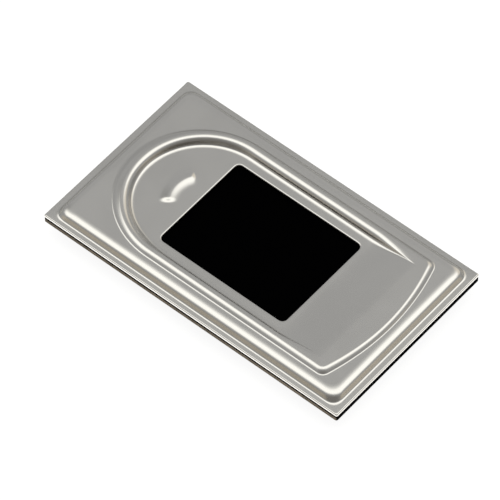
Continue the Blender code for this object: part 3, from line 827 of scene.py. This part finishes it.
def flexFinish():
    # amber film with copper tracks that show through it along its length
    made, tree, shader = newMaterial("polyimideAmber", flex["film"], flex["roughness"][0])
    tracks = stripes(tree, objectSplit(tree)[0], flex["pitch"], flex["width"])
    cloud = objectNoise(tree, flex["cloudScale"])
    colour = mixColour(tree, tracks, flex["film"], flex["overTrack"])
    shade = mixColour(tree, mapRange(tree, cloud, *finishes["noiseEnds"]), flex["cloudDark"], (1.0, 1.0, 1.0))
    link(tree, mixColour(tree, 1.0, colour, shade, "MULTIPLY"), shader.inputs["Base Color"])
    link(tree, mapRange(tree, cloud, *finishes["noiseEnds"], *flex["roughness"]), shader.inputs["Roughness"])
    addBump(tree, shader, tracks, flex["strength"], flex["depth"])
    return made


tray = {
    "colour": (0.03, 0.03, 0.031),
    "worn": (0.038, 0.038, 0.039),
    "roughness": (0.5, 0.62),
    "specular": 0.4,
    "sparkScale": 5200.0,
    "sparkShare": 0.5,
    "cloudScale": 160.0,
    "wearEnds": (0.35, 0.65),
    "pinRadius": 0.9 * mm,
    "pinPlace": (6.0 * mm, 11.0 * mm),  # and mirrored both ways
    "gateRadius": 0.45 * mm,
    "ringWidth": (0.09 * mm, 0.02 * mm),
    "ringHeights": (0.4 * mm, 0.2 * mm),  # the rings are on the flat underside only
    "strength": 0.5,
    "depth": 0.04 * mm,
}


def ringMark(tree, x, y, place, radius):
    # 1 on a thin ring: the distance from its middle is within the ring's width of the radius
    across = mathNode(tree, "POWER", mathNode(tree, "SUBTRACT", x, place[0]), 2.0)
    upward = mathNode(tree, "POWER", mathNode(tree, "SUBTRACT", y, place[1]), 2.0)
    reach = mathNode(tree, "SQRT", mathNode(tree, "ADD", across, upward))
    off = mathNode(tree, "ABSOLUTE", mathNode(tree, "SUBTRACT", reach, radius))
    return mapRange(tree, off, *tray["ringWidth"])


def trayFinish():
    # Moulded plastic with a spark-eroded grain. Shallow rings mark the ejector pins and the gate.
    made, tree, shader = newMaterial("blackPlastic", tray["colour"], tray["roughness"][0],
                                     specular=tray["specular"])
    x, y, z = objectSplit(tree)
    grain = objectNoise(tree, tray["sparkScale"], 2.0, roughness=0.5)
    cloud = objectNoise(tree, tray["cloudScale"])
    rings = ringMark(tree, x, y, (0.0, 0.0), tray["gateRadius"])
    for across, along in ((1, 1), (-1, 1), (1, -1), (-1, -1)):
        place = (across * tray["pinPlace"][0], along * tray["pinPlace"][1])
        rings = mathNode(tree, "MAXIMUM", rings, ringMark(tree, x, y, place, tray["pinRadius"]))
    rings = mathNode(tree, "MULTIPLY", rings, mapRange(tree, z, *tray["ringHeights"]))
    link(tree, mixColour(tree, mapRange(tree, cloud, *tray["wearEnds"]), tray["colour"], tray["worn"]),
         shader.inputs["Base Color"])
    link(tree, mapRange(tree, cloud, *finishes["noiseEnds"], *tray["roughness"]), shader.inputs["Roughness"])
    height = mathNode(tree, "SUBTRACT", mathNode(tree, "MULTIPLY", grain, tray["sparkShare"]), rings)
    addBump(tree, shader, height, tray["strength"], tray["depth"])
    return made


slotFinish = {  # name, colour, roughness, metallic, specular
    "adhesive_black": ("adhesiveBlack", (0.002, 0.002, 0.002), 0.6, 0.0, 0.05),
    "gasket_rubber": ("gasketRubber", (0.006, 0.006, 0.006), 0.8, 0.0, 0.2),
    "sensor_black": ("sensorBlack", (0.0006, 0.0006, 0.0007), 0.3, 0.0, 0.0),
    "gasket_foam": ("gasketFoam", (0.006, 0.006, 0.006), 0.95, 0.0, 0.1),
    "foam_grey": ("foamGrey", (0.08, 0.08, 0.085), 0.95, 0.0, 0.3),
    "plated_gold": ("platedGold", (0.85, 0.62, 0.28), 0.25, 1.0, 0.5),
    "chip_moulding": ("chipMoulding", (0.025, 0.025, 0.027), 0.55, 0.0, 0.4),
    "crystal_can": ("crystalCan", (0.75, 0.74, 0.72), 0.22, 1.0, 0.5),
    "ferrite_grey": ("ferriteGrey", (0.06, 0.06, 0.065), 0.6, 0.0, 0.4),
    "ceramic_tan": ("ceramicTan", (0.36, 0.22, 0.13), 0.45, 0.0, 0.5),
    "connector_ivory": ("connectorIvory", (0.72, 0.68, 0.58), 0.5, 0.0, 0.5),
    "latch_brown": ("latchBrown", (0.09, 0.055, 0.04), 0.45, 0.0, 0.5),
    "film_white": ("filmWhite", (0.7, 0.7, 0.68), 0.6, 0.0, 0.4),
    "standoff_brass": ("standoffBrass", (0.78, 0.57, 0.3), 0.3, 1.0, 0.5),
    "screw_steel": ("screwSteel", (0.42, 0.41, 0.4), 0.36, 1.0, 0.5),
}


def finishNodes():
    # every CAD node takes the finish of its material slot
    made = {slot: plainFinish(*values) for slot, values in slotFinish.items()}
    made["board_black"] = boardFinish()
    made["polyimide_amber"] = flexFinish()
    made["black_plastic"] = trayFinish()
    for part in frame["record"]["subparts"]:
        if part["material_slot"] in made:
            node = frame["nodes"][part["node"]]
            node.data.materials.clear()
            node.data.materials.append(made[part["material_slot"]])
    print("finishes done:", len(made))


plateLow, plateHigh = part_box("bezel")
plateHalfWidth = plateHigh.x / mm
plateHalfLength = plateHigh.y / mm
flangeZ = plateHigh.z - bezel["rimRise"] * mm
bpy.context.scene.view_settings.view_transform = "Standard"
buildSky()
buildFloor()
buildCamera()
buildBezel()
contactRow("hostContacts", "host_connector", contacts["hostCount"], 1)
contactRow("sensorContacts", "sensor_connector", contacts["sensorCount"], -1)
finishNodes()
